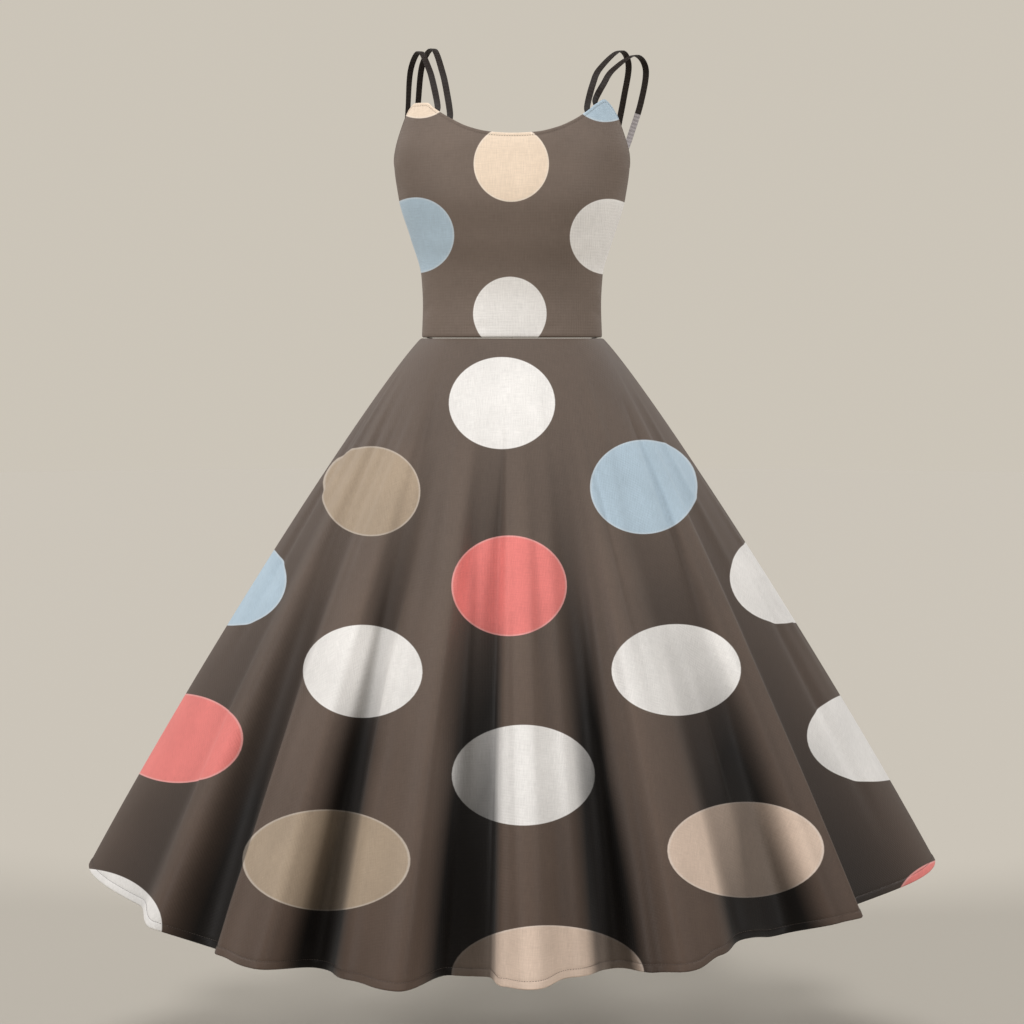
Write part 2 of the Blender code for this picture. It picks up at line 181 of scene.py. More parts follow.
# Small creases of the bodice, as lines on its surface.
# angle and height of one end, angle and height of the other, half width in metres, height in metres
BODICE_CREASES = (
    (-86, 0.030, -58, 0.044, 0.0050, -0.0011), (-84, 0.052, -66, 0.070, 0.0055, 0.0009),
    (88, 0.024, 54, 0.040, 0.0050, -0.0012), (84, 0.046, 62, 0.066, 0.0050, 0.0009),
    (-87, 0.215, -62, 0.190, 0.0070, -0.0016), (87, 0.212, 60, 0.186, 0.0070, -0.0016),
    (-80, 0.238, -64, 0.226, 0.0055, 0.0010), (80, 0.236, 62, 0.222, 0.0055, 0.0010),
    (-30, 0.012, -8, 0.017, 0.0040, -0.0007), (12, 0.010, 34, 0.018, 0.0040, -0.0008),
    (-52, 0.100, -36, 0.116, 0.0080, -0.0008), (38, 0.098, 56, 0.114, 0.0080, -0.0008),
    (-24, 0.250, -12, 0.268, 0.0060, 0.0007), (14, 0.252, 30, 0.280, 0.0060, 0.0007),
    (98, 0.022, 128, 0.036, 0.0050, -0.0012), (262, 0.026, 230, 0.040, 0.0050, -0.0011),
    (102, 0.180, 134, 0.160, 0.0080, -0.0014), (258, 0.184, 224, 0.166, 0.0080, -0.0014),
    (150, 0.050, 178, 0.058, 0.0060, -0.0011), (206, 0.090, 182, 0.098, 0.0060, 0.0010),
    (148, 0.120, 178, 0.112, 0.0070, 0.0009), (212, 0.060, 182, 0.052, 0.0060, -0.0010),
)

# ---------------------------------------------------------------- sizes of the studio
FLOOR_DROP = 0.24         # from the hem down to the floor
CAMERA_BACK = 3.0
CAMERA_TILT = math.radians(4.632)
CAMERA_LENS = 75.69

# name, azimuth from the front (positive to the right), elevation, softness in degrees, strength
LIGHTS = (
    ("key_left", -58, 28, 16, 1.90),
    ("key_right", 57, 26, 16, 1.42),
    ("top", -4, 68, 24, 0.95),
    ("back_left", -140, 36, 24, 0.95),
    ("back_right", 142, 36, 24, 0.95),
)
BACKDROP = (0.60, 0.555, 0.48, 1)    # as the camera sees it
SURROUND = 0.22                      # how much of it lights the dress

# ---------------------------------------------------------------- the print, and the painted shade on the cloth
GROUND_HIGH = (0.172, 0.132, 0.108, 1)   # the cloth's ground at the waist and above
GROUND_SHADED_HEM = (0.072, 0.046, 0.033, 1)    # and at the hem, darkened with painted shade
FOLD_PAINTED_SHADE = 0.07                         # painted shade: tone of the ground in the deepest hollow between folds
DOT_FOLD_PAINTED_SHADE = 0.25                          # painted shade on a dot there
FOLD_SHADE_FROM = 0.012                      # how far outside the mean surface a hollow's painted shade starts
FOLD_SHADE_SPAN = 0.058                      # depth over which that painted shade becomes full
FOLD_SHADE_POWER = 1.2
WAIST_SHADE_MIX = 0.80                        # painted shade: mix of the plain and the shaded ground on the skirt, at its waist
SHADE_FALL_TO_HEM = 0.75                         # and its fall down to the hem, painted shade darker towards the bottom
DOT_PAINTED_SHADE_TONE = 0.78                           # painted shade: tone of a dot where the ground is at its most shaded
RIM_COLOUR = (0.90, 0.87, 0.84, 1)       # thin paler rim of a dot
RIM_MIX = 0.22
PRINT_EDGE = 0.0004                      # half the softness of a dot's edge
FLAT_PRINT = 0.25                        # cosine of the angle below which creases don't move a dot
FLAT_SPAN = 0.30                         # and the rise to where they move it fully
DOT_COLOURS = {
    "cream": (0.845, 0.690, 0.545),
    "blue": (0.445, 0.560, 0.655),
    "white": (0.840, 0.815, 0.790),
    "coral": (0.820, 0.225, 0.205),
    "tan": (0.400, 0.310, 0.225),
    "peach": (0.700, 0.545, 0.440),
}

# The dots are laid out in the dress's elevation from PRINT_VIEW away: across and up from the middle
# of the waist seam. A side dot goes on past the side seam, round to the back.
PRINT_VIEW = 3.0
SKIRT_TURN = 0.08         # softens a side dot's turn round the seam
BODICE_TURN = 0.015
# where, across, up, half width, half height, colour
SKIRT_DOTS = (
    ("front", -0.014, -0.091, 0.074, 0.064, "white"),
    ("front", -0.197, -0.214, 0.069, 0.063, "tan"),
    ("front", 0.184, -0.208, 0.075, 0.066, "blue"),
    ("front", -0.004, -0.347, 0.081, 0.071, "coral"),
    ("side", -0.394, -0.337, 0.078, 0.066, "blue"),
    ("side", 0.385, -0.332, 0.080, 0.068, "white"),
    ("front", -0.210, -0.468, 0.084, 0.066, "white"),
    ("front", 0.231, -0.466, 0.091, 0.065, "white"),
    ("side", -0.471, -0.563, 0.092, 0.064, "coral"),
    ("side", 0.509, -0.559, 0.093, 0.066, "white"),
    ("front", 0.016, -0.616, 0.101, 0.072, "white"),
    ("front", -0.263, -0.738, 0.119, 0.073, "tan"),
    ("front", 0.331, -0.723, 0.111, 0.069, "peach"),
    ("front", 0.051, -0.903, 0.137, 0.071, "peach"),
    ("side", -0.611, -0.832, 0.114, 0.082, "white"),
    ("side", 0.643, -0.803, 0.099, 0.072, "coral"),
)
# The back's dots lie on its flat cut: share of the way from the centre back to the side seam, share
# of the way down, half width, half height, colour
BACK_DOTS = (
    (0.00, 0.115, 0.074, 0.070, "coral"),
    (-0.50, 0.270, 0.077, 0.068, "white"),
    (0.50, 0.268, 0.076, 0.068, "cream"),
    (0.00, 0.420, 0.085, 0.070, "white"),
    (-0.46, 0.562, 0.092, 0.068, "cream"),
    (0.47, 0.565, 0.090, 0.068, "coral"),
    (0.02, 0.705, 0.106, 0.070, "blue"),
    (-0.47, 0.850, 0.118, 0.070, "white"),
    (0.48, 0.846, 0.118, 0.070, "tan"),
    (-0.02, 0.992, 0.132, 0.070, "coral"),
)
BODICE_DOTS = (
    ("front", -0.001, 0.239, 0.052, 0.052, "cream"),
    ("side", -0.133, 0.141, 0.053, 0.052, "blue"),
    ("side", 0.133, 0.139, 0.053, 0.052, "white"),
    ("front", -0.003, 0.033, 0.051, 0.051, "white"),
    ("front", -0.128, 0.353, 0.052, 0.052, "cream"),
    ("front", 0.129, 0.348, 0.052, 0.052, "blue"),
    ("back", 0.002, 0.216, 0.052, 0.052, "blue"),
    ("back", 0.000, 0.008, 0.051, 0.051, "tan"),
)


# ---------------------------------------------------------------- the surfaces, on arrays
def column(table, index):
    return np.array([row[index] for row in table], dtype=float)


def smooth(table, place, index):
    """A table's column read at any places of its first column, with no overshoot."""
    stops, values = column(table, 0), column(table, index)
    slopes = np.diff(values) / np.diff(stops)
    before, after = slopes[:-1], slopes[1:]
    same = before * after > 0
    total = np.where(same, before + after, 1.0)
    inner = np.where(same, 2 * before * after / total, 0.0)
    tangents = np.concatenate(([slopes[0]], inner, [slopes[-1]]))
    place = np.clip(place, stops[0], stops[-1])
    i = np.clip(np.searchsorted(stops, place, side="right") - 1, 0, len(stops) - 2)
    span = stops[i + 1] - stops[i]
    t = (place - stops[i]) / span
    return (
        (2 * t**3 - 3 * t**2 + 1) * values[i]
        + (t**3 - 2 * t**2 + t) * tangents[i] * span
        + (3 * t**2 - 2 * t**3) * values[i + 1]
        + (t**3 - t**2) * tangents[i + 1] * span
    )


def turned(angle):
    return (np.asarray(angle, dtype=float) + 90) % 360 - 90


def section_radius(section, angle):
    power = section["square"]
    across = (np.abs(np.sin(angle)) / section["width"]) ** power
    along = (np.abs(np.cos(angle)) / section["depth"]) ** power
    return (across + along) ** (-1 / power)


def fold_at(angle):
    """Push, extra drop and start of the folds at each angle."""
    angle = turned(angle)
    stops = column(FOLDS, 0)
    i = np.clip(np.searchsorted(stops, angle, side="right") - 1, 0, len(stops) - 2)
    t = np.clip((angle - stops[i]) / (stops[i + 1] - stops[i]), 0.0, 1.0)
    roundness = column(FOLDS, 3)
    near = t ** roundness[i]
    far = (1 - t) ** roundness[i + 1]
    blend = near / (near + far)
    return [
        values[i] + (values[i + 1] - values[i]) * blend
        for values in (column(FOLDS, 1), column(FOLDS, 2), column(FOLDS, 4))
    ]


def fold_growth(share, start):
    run = np.maximum(0.0, (share - start) / (1 - start))
    return run**2 * (1 + FOLD_EASE) / (run + FOLD_EASE)


def skirt_surface(angle, share):
    push, drop, start = fold_at(angle)
    at_hem = np.radians(angle)
    at_waist = at_hem + FOLD_SPREAD * np.sin(2 * at_hem)
    flare = share**FLARE_POWER + FLARE_BELLY * share**2 * (1 - share)
    growth = fold_growth(share, start)
    waist = section_radius(WAIST_SECTION, at_waist) * (1 - flare)
    hem = section_radius(HEM_SECTION, at_hem) * flare
    aim = np.stack((FOLD_PRESS * np.sin(at_hem), -np.cos(at_hem)))
    aim = aim / np.sqrt((aim**2).sum(axis=0))
    return np.stack((
        waist * np.sin(at_waist) + hem * np.sin(at_hem) + aim[0] * push * growth,
        -waist * np.cos(at_waist) - hem * np.cos(at_hem) + aim[1] * push * growth,
        WAIST_Z - (SKIRT_DROP + drop * growth) * share,
    ), axis=-1)


def bodice_surface(angle, height):
    sine, cosine = np.sin(np.radians(angle)), np.cos(np.radians(angle))
    width = smooth(BODICE_SECTIONS, height, 1)
    depth = np.where(
        cosine >= 0, smooth(BODICE_SECTIONS, height, 2), smooth(BODICE_SECTIONS, height, 3)
    )
    power = 2 / smooth(BODICE_SECTIONS, height, 4)
    return np.stack((
        width * np.sign(sine) * np.abs(sine) ** power,
        -depth * np.sign(cosine) * np.abs(cosine) ** power,
        WAIST_Z + height + 0 * sine,
    ), axis=-1)


def top_height(angle):
    return smooth(TOP_EDGE, turned(angle), 1)


def bodice_share_surface(angle, share):
    return bodice_surface(angle, share * top_height(angle))


def outward(surface, angle, along, reach_angle, reach_along):
    """Unit vectors out of the surface."""
    across = surface(angle + reach_angle, along) - surface(angle - reach_angle, along)
    upright = surface(angle, along + reach_along) - surface(angle, np.maximum(0.0, along - reach_along))
    normal = np.cross(across, upright)
    normal /= np.linalg.norm(normal, axis=-1, keepdims=True)
    middle = surface(angle, along)
    middle[..., 2] = 0
    facing = (normal * middle).sum(axis=-1, keepdims=True)
    return normal * np.where(facing.mean() > 0, 1.0, -1.0)


# ---------------------------------------------------------------- small relief
def bump(t):
    """Rises from 0 to 1 and back over t from 0 to 1."""
    return np.sin(np.pi * np.clip(t, 0, 1)) ** 1.3


def skirt_creases(angle, share):
    relief = np.zeros_like(angle)
    for middle, lean, start, end, width, height in SKIRT_CREASES:
        t = (share - start) / (end - start)
        offset = (angle - middle - lean * (t - 0.5)) / width
        relief += height * bump(t) * np.exp(-offset**2)
    return relief


def bodice_creases(angle, height, points):
    relief = np.zeros_like(angle)
    for a, low, b, high, width, depth in BODICE_CREASES:
        start = bodice_surface(np.array(float(a)), np.array(low))
        end = bodice_surface(np.array(float(b)), np.array(high))
        way = end - start
        t = ((points - start) * way).sum(axis=-1) / (way @ way)
        off = points - start - np.clip(t, 0, 1)[..., None] * way
        lift = off[..., 2]
        near = np.linalg.norm(off[..., :2], axis=-1) < 0.05
        relief += np.where(near, depth * bump(t) * np.exp(-(lift / width) ** 2), 0.0)
    return relief


def roll(distance, reach, depth):
    """How far an edge turns in, at a distance from it."""
    return -depth * np.clip(1 - distance / reach, 0, 1) ** 2


# ---------------------------------------------------------------- the print, as distances
def oval(across, along, half_width, half_height):
    """Distance to an oval's edge, negative inside it."""
    radius = np.sqrt((across / half_width) ** 2 + (along / half_height) ** 2)
    return (radius - 1) * min(half_width, half_height)


def elevation_dots(dots, angle, points, seam_x, turn):
    """Distances to dots that are laid out in the front and back elevations."""
    front = np.cos(np.radians(angle)) >= 0
    y = points[..., 1]
    scale = PRINT_VIEW / (PRINT_VIEW - np.abs(y))
    around = PRINT_VIEW / (PRINT_VIEW + y)
    past_seam = np.sqrt(y**2 + turn**2) - turn
    beyond = np.where(front, points[..., 0] * around, np.sign(points[..., 0]) * (seam_x * around + past_seam))
    height = points[..., 2] - WAIST_Z
    distances = []
    for where, x, z, half_width, half_height, _ in dots:
        if where == "side":
            distances.append(oval(beyond - x, height * around - z, half_width, half_height))
        else:
            distance = oval(points[..., 0] * scale - x, height * scale - z, half_width, half_height)
            distances.append(np.where(front == (where == "front"), distance, PRINT_VIEW))
    return distances


def back_dots(fraction, share, row_length):
    """Distances to the dots of the skirt's back, on its flat cut."""
    return [
        oval((fraction - middle) * row_length, (share - down) * SLANT, half_width, half_height)
        for middle, down, half_width, half_height, _ in BACK_DOTS
    ]


def nearest_dot(distances, dots):
    """The nearest dot's distance and colour."""
    distances = np.stack(distances)
    palette = np.array([DOT_COLOURS[row[-1]] for row in dots])
    return distances.min(axis=0), palette[distances.argmin(axis=0)]


# ---------------------------------------------------------------- materials
def new_material(name):
    material = bpy.data.materials.new(name)
    material.use_nodes = True
    return material, material.node_tree.nodes, material.node_tree.links


def add_node(nodes, kind, **settings):
    node = nodes.new(kind)
    for key, value in settings.items():
        if key in node.inputs:
            node.inputs[key].default_value = value
        else:
            setattr(node, key, value)
    return node


def mix_colour(nodes, links, kind, factor, first, second):
    node = nodes.new("ShaderNodeMix")
    node.data_type = "RGBA"
    node.blend_type = kind
    for socket, value in ((node.inputs[0], factor), (node.inputs[6], first), (node.inputs[7], second)):
        if hasattr(value, "links"):
            links.new(value, socket)
        else:
            socket.default_value = value
    return node.outputs[2]


def map_range(nodes, links, value, low, high, start=0.0, end=1.0):
    node = nodes.new("ShaderNodeMapRange")
    node.inputs["From Min"].default_value = low
    node.inputs["From Max"].default_value = high
    node.inputs["To Min"].default_value = start
    node.inputs["To Max"].default_value = end
    links.new(value, node.inputs["Value"])
    return node.outputs["Result"]


def threads(nodes, links, across, along):
    """Uneven threads in one direction of the cloth: noise drawn out along them."""
    place = nodes.new("ShaderNodeUVMap")
    place.uv_map = "cut"
    stretch = nodes.new("ShaderNodeMapping")
    stretch.inputs["Scale"].default_value = (across, along, 1.0)
    links.new(place.outputs["UV"], stretch.inputs["Vector"])
    noise = add_node(nodes, "ShaderNodeTexNoise", Scale=1.0, Detail=2.0, Roughness=0.6)
    links.new(stretch.outputs["Vector"], noise.inputs["Vector"])
    return noise.outputs["Fac"]


def weave_height(nodes, links):
    """Warp and weft: fine bands one over the other, with uneven threads."""
    place = nodes.new("ShaderNodeUVMap")
    place.uv_map = "cut"
    bands = []
    for direction in ("X", "Y"):
        band = add_node(nodes, "ShaderNodeTexWave", Scale=THREADS_PER_METRE / WAVES_PER_SCALE, Distortion=0.6)
        band.bands_direction = direction
        links.new(place.outputs["UV"], band.inputs["Vector"])
        bands.append(band.outputs["Fac"])
    fine = nodes.new("ShaderNodeMath")
    fine.operation = "ADD"
    links.new(bands[0], fine.inputs[0])
    links.new(bands[1], fine.inputs[1])
    return fine.outputs[0]


def cloth_material():
    material, nodes, links = new_material("printed_cloth_face_with_painted_shade")
    shader = nodes["Principled BSDF"]
    warp = threads(nodes, links, 900.0, 60.0)
    weft = threads(nodes, links, 60.0, 900.0)
    cloud = add_node(nodes, "ShaderNodeTexNoise", Scale=9.0, Detail=4.0, Roughness=0.55)
    place = nodes.new("ShaderNodeTexCoord")
    links.new(place.outputs["Object"], cloud.inputs["Vector"])
    edge = nodes.new("ShaderNodeAttribute")
    edge.attribute_name = "dot_edge"
    colour = nodes.new("ShaderNodeAttribute")
    colour.attribute_name = "dot_colour"
    # painted shade: the ground and the dots darker in the hollows between the skirt's folds
    shade_in_folds = nodes.new("ShaderNodeAttribute")
    shade_in_folds.attribute_name = "painted_fold_shade"
    # painted shade: the ground and the dots darker down the skirt and where the cloth turns into a seam
    tone = nodes.new("ShaderNodeAttribute")
    tone.attribute_name = "ground_painted_shade"
    dot_hem_and_seam_shade = map_range(nodes, links, tone.outputs["Fac"], 0.0, 1.0, DOT_PAINTED_SHADE_TONE, 1.0)
    rim = map_range(nodes, links, edge.outputs["Fac"], -0.0026, -0.0012, 0.0, RIM_MIX)
    dot = mix_colour(nodes, links, "MIX", rim, colour.outputs["Color"], RIM_COLOUR)
    dot = mix_colour(nodes, links, "MULTIPLY", 1.0, dot, dot_hem_and_seam_shade)
    dot_fold_shade = map_range(nodes, links, shade_in_folds.outputs["Fac"], 0.35, 1.0, 1.0, DOT_FOLD_PAINTED_SHADE)
    dot = mix_colour(nodes, links, "MULTIPLY", 1.0, dot, dot_fold_shade)
    base = mix_colour(nodes, links, "MIX", tone.outputs["Fac"], GROUND_SHADED_HEM, GROUND_HIGH)
    ground_fold_shade = map_range(nodes, links, shade_in_folds.outputs["Fac"], 0.0, 0.8, 1.0, FOLD_PAINTED_SHADE)
    base = mix_colour(nodes, links, "MULTIPLY", 1.0, base, ground_fold_shade)
    inside = map_range(nodes, links, edge.outputs["Fac"], PRINT_EDGE, -PRINT_EDGE)
    printed = mix_colour(nodes, links, "MIX", inside, base, dot)
    for value, low, high in ((warp, 0.93, 1.06), (weft, 0.94, 1.05), (cloud.outputs["Fac"], 0.92, 1.08)):
        shade = map_range(nodes, links, value, 0.3, 0.7, low, high)
        printed = mix_colour(nodes, links, "MULTIPLY", 1.0, printed, shade)
    links.new(printed, shader.inputs["Base Color"])
    rough = map_range(nodes, links, cloud.outputs["Fac"], 0.3, 0.7, 0.60, 0.72)
    links.new(rough, shader.inputs["Roughness"])
    shader.inputs["Sheen Weight"].default_value = 0.07
    shader.inputs["Sheen Roughness"].default_value = 0.45
    shader.inputs["Specular IOR Level"].default_value = 0.24
    relief = nodes.new("ShaderNodeBump")
    relief.inputs["Strength"].default_value = 0.25
    relief.inputs["Distance"].default_value = 0.0003
    links.new(weave_height(nodes, links), relief.inputs["Height"])
    slub = nodes.new("ShaderNodeBump")
    slub.inputs["Strength"].default_value = 0.35
    slub.inputs["Distance"].default_value = 0.0006
    links.new(warp, slub.inputs["Height"])
    links.new(relief.outputs["Normal"], slub.inputs["Normal"])
    links.new(slub.outputs["Normal"], shader.inputs["Normal"])
    return material


def reverse_material():
    material, nodes, links = new_material("cloth_reverse")
    shader = nodes["Principled BSDF"]
    warp = threads(nodes, links, 900.0, 60.0)
    weft = threads(nodes, links, 60.0, 900.0)
    tone = (0.36, 0.335, 0.325, 1)
    for value in (warp, weft):
        shade = map_range(nodes, links, value, 0.3, 0.7, 0.93, 1.06)
        tone = mix_colour(nodes, links, "MULTIPLY", 1.0, tone, shade)
    links.new(tone, shader.inputs["Base Color"])
    shader.inputs["Roughness"].default_value = 0.78
    relief = nodes.new("ShaderNodeBump")
    relief.inputs["Strength"].default_value = 0.3
    relief.inputs["Distance"].default_value = 0.0003
    links.new(weave_height(nodes, links), relief.inputs["Height"])
    links.new(relief.outputs["Normal"], shader.inputs["Normal"])
    return material


def ribbon_material(name, colour):
    """Grosgrain: ribs across the ribbon, with a fine uneven grain."""
    material, nodes, links = new_material(name)
    shader = nodes["Principled BSDF"]
    place = nodes.new("ShaderNodeUVMap")
    place.uv_map = "cut"
    ribs = add_node(nodes, "ShaderNodeTexWave", Scale=60.0, Distortion=0.3)
    ribs.bands_direction = "Y"
    links.new(place.outputs["UV"], ribs.inputs["Vector"])
    noise = add_node(nodes, "ShaderNodeTexNoise", Scale=700.0, Detail=2.0)
    links.new(place.outputs["UV"], noise.inputs["Vector"])
    shade = map_range(nodes, links, ribs.outputs["Fac"], 0.0, 1.0, 0.80, 1.12)
    tone = mix_colour(nodes, links, "MULTIPLY", 1.0, (*colour, 1), shade)
    grain = map_range(nodes, links, noise.outputs["Fac"], 0.3, 0.7, 0.85, 1.15)
    tone = mix_colour(nodes, links, "MULTIPLY", 1.0, tone, grain)
    links.new(tone, shader.inputs["Base Color"])
    shader.inputs["Roughness"].default_value = 0.55
    shader.inputs["Specular IOR Level"].default_value = 0.3
    relief = nodes.new("ShaderNodeBump")
    relief.inputs["Strength"].default_value = 0.5
    relief.inputs["Distance"].default_value = 0.0003
    links.new(ribs.outputs["Fac"], relief.inputs["Height"])
    links.new(relief.outputs["Normal"], shader.inputs["Normal"])
    return material


def thread_material():
    material, nodes, links = new_material("sewing_thread")
    shader = nodes["Principled BSDF"]
    noise = add_node(nodes, "ShaderNodeTexNoise", Scale=900.0, Detail=1.0)
    place = nodes.new("ShaderNodeTexCoord")
    links.new(place.outputs["Object"], noise.inputs["Vector"])
    shade = map_range(nodes, links, noise.outputs["Fac"], 0.3, 0.7, 0.8, 1.2)
    tone = mix_colour(nodes, links, "MULTIPLY", 1.0, (0.105, 0.082, 0.068, 1), shade)
    links.new(tone, shader.inputs["Base Color"])
    shader.inputs["Roughness"].default_value = 0.6
    return material


# ---------------------------------------------------------------- meshes
def grid_mesh(name, points, cut, attributes, materials):
    """A sheet of quads over a grid of points, with its flat pattern as UVs."""
    rows, columns = points.shape[:2]
    index = np.arange(rows * columns).reshape(rows, columns)
    quads = np.stack((index[:-1, :-1], index[:-1, 1:], index[1:, 1:], index[1:, :-1]), axis=-1)
    mesh = bpy.data.meshes.new(name)
    mesh.from_pydata(points.reshape(-1, 3).tolist(), [], quads.reshape(-1, 4).tolist())
    layer = mesh.uv_layers.new(name="cut")
    loops = np.empty(len(mesh.loops), dtype=np.int64)
    mesh.loops.foreach_get("vertex_index", loops)
    layer.data.foreach_set("uv", cut.reshape(-1, 2)[loops].ravel())
    for key, values in attributes.items():
        kind = "FLOAT_COLOR" if values.ndim == 3 else "FLOAT"
        data = mesh.attributes.new(key, kind, "POINT").data
        if kind == "FLOAT":
            data.foreach_set("value", values.ravel())
        else:
            opaque = np.concatenate((values, np.ones((*values.shape[:2], 1))), axis=-1)
            data.foreach_set("color", opaque.ravel())
    mesh.shade_smooth()
    for material in materials:
        mesh.materials.append(material)
    piece = bpy.data.objects.new(name, mesh)
    bpy.context.scene.collection.objects.link(piece)
    return piece


def apply_thickness(piece, thickness):
    """Gives a sheet its cloth's thickness, inwards, with the reverse in the second material."""
    wall = piece.modifiers.new("cloth", "SOLIDIFY")
    wall.thickness = thickness
    wall.offset = -1.0
    wall.material_offset = 1
    wall.use_rim = True


def flat_cut(fraction, down, top_length, hem_length, slant):
    """Places in the flat pattern of a flared panel: a sector, its grain down the middle."""
    spread = (hem_length - top_length) / slant
    radius = top_length / spread + down
    return np.stack((radius * np.sin(fraction * spread), -radius * np.cos(fraction * spread)), axis=-1)


def panel_columns(first, last, step):
    """Angles across a panel, closer together where it is sewn, each end twice for its seam allowance."""
    close = np.array([0.0, 0.0, 0.12, 0.3, 0.6, 1.1, 1.8])
    count = math.ceil((last - first - 2 * close[-1]) / step)
    middle = np.linspace(first + close[-1], last - close[-1], count + 1)
    return np.concatenate((first + close[:-1], middle, (last - close[:-1])[::-1]))


def skirt_rows():
    """Shares from the hem up to the waist seam, which comes twice for its allowance."""
    hem = 1 - np.array([0.0, 0.0012, 0.0026, 0.005, 0.008, 0.0106, 0.0114, 0.0122, 0.0136, 0.018])
    top = np.array([0.008, 0.0045, 0.0026, 0.0012, 0.0, 0.0])
    return np.concatenate((hem, np.linspace(0.974, 0.014, 112), top))


def part_seams(points, waist_row, up):
    """Moves a panel's edges half a seam gap back from its neighbours."""
    for edge, beside, inner in ((0, 1, 4), (-1, -2, -5)):
        way = points[:, inner] - points[:, beside]
        way /= np.linalg.norm(way, axis=1, keepdims=True)
        points[:, edge] += way * SEAM_GAP / 2
        points[:, beside] += way * SEAM_GAP / 2
    points[waist_row, :, 2] += up * SEAM_GAP / 2


def run_along(points):
    """Length along each row of a grid of points, from its first point."""
    steps = np.linalg.norm(np.diff(points, axis=1), axis=2)
    return np.concatenate((np.zeros((len(points), 1)), np.cumsum(steps, axis=1)), axis=1)


def painted_seam_shade(*distances):
    """Painted shade: the cloth is a little darker where it turns into a seam."""
    tone = 1.0
    for distance in distances:
        tone = tone * (1 - SEAM_PAINTED_SHADE * np.exp(-(distance / SEAM_REACH) ** 2))
    return tone


def skirt_relief(angle, share, first, last):
    """Height over the base surface: creases, seams that turn in, and the doubled hem."""
    down = share * SLANT
    up = (1 - share) * SLANT
    radius = 0.11 + 0.45 * share
    to_seam = np.radians(np.minimum(angle - first, last - angle)) * radius
    fade = np.clip(up / CREASE_FADE, 0, 1)
    relief = skirt_creases(angle, share) * fade
    relief += roll(down, SEAM_REACH, SEAM_ROLL)
    relief += roll(to_seam, SEAM_REACH, SEAM_ROLL)
    doubled = np.clip((HEM_DEPTH + HEM_EDGE - up) / (2 * HEM_EDGE), 0, 1)
    groove = np.exp(-((up - HEM_DEPTH) / 0.0009) ** 2)
    relief += HEM_LIFT * doubled - HEM_GROOVE * groove + roll(up, 0.0012, 0.0008)
    return relief


def build_skirt_panel(name, first, last, step, materials):
    angle, share = np.meshgrid(panel_columns(first, last, step), skirt_rows())
    points = skirt_surface(angle, share)
    run = run_along(points)
    row_length = run[:, -1:]
    seam_x = skirt_surface(np.full_like(angle, 90), share)[..., 0]
    relief = skirt_relief(angle, share, first, last)
    way_out = outward(skirt_surface, angle, share, 0.4, 0.01)
    facing = np.clip((np.abs(np.cos(np.radians(angle))) - FLAT_PRINT) / FLAT_SPAN, 0, 1)
    printed_on = points + way_out * (relief * facing)[..., None]
    distances = elevation_dots(SKIRT_DOTS, angle, printed_on, seam_x, SKIRT_TURN)
    points += way_out * relief[..., None]
    dots = list(SKIRT_DOTS)
    if first >= 90:
        start = -1.0 if first == 90 else 0.0
        distances += back_dots(start + run / row_length, share, row_length)
        dots += BACK_DOTS
    edge, colour = nearest_dot(distances, dots)
    points[:, [0, -1]] -= way_out[:, [0, -1]] * ALLOWANCE
    points[-1] -= way_out[-1] * ALLOWANCE
    part_seams(points, [-1, -2], -1)
    cut = flat_cut(run / row_length - 0.5, share * SLANT, row_length[-1, 0], row_length[0, 0], SLANT)
    cut[-1, :, 1] += ALLOWANCE
    cut[:, 0, 0] -= ALLOWANCE
    cut[:, -1, 0] += ALLOWANCE
    push, _, start = fold_at(angle)
    depth = -push * fold_growth(share, start)
    to_seam = np.minimum(run, row_length - run)
    attributes = {
        "dot_edge": edge,
        "dot_colour": colour,
        # painted shade in the hollows between folds
        "painted_fold_shade": np.clip((depth + FOLD_SHADE_FROM) / FOLD_SHADE_SPAN, 0, 1) ** FOLD_SHADE_POWER,
        # painted shade: darker down towards the hem and where the cloth turns into a seam
        "ground_painted_shade": np.clip(WAIST_SHADE_MIX - SHADE_FALL_TO_HEM * share, 0, 1) * painted_seam_shade(to_seam, share * SLANT),
    }
    piece = grid_mesh(name, points, cut, attributes, materials)
    apply_thickness(piece, CLOTH)
    return piece


def bodice_rows():
    """Shares from the waist seam, which comes twice for its allowance, up to the top edge."""
    low = np.array([0.0, 0.0, 0.004, 0.009, 0.016, 0.026])
    high = 1 - np.array([0.0, 0.003, 0.007, 0.012, 0.017, 0.024])
    return np.concatenate((low, np.linspace(0.045, 0.955, 62), high[::-1]))


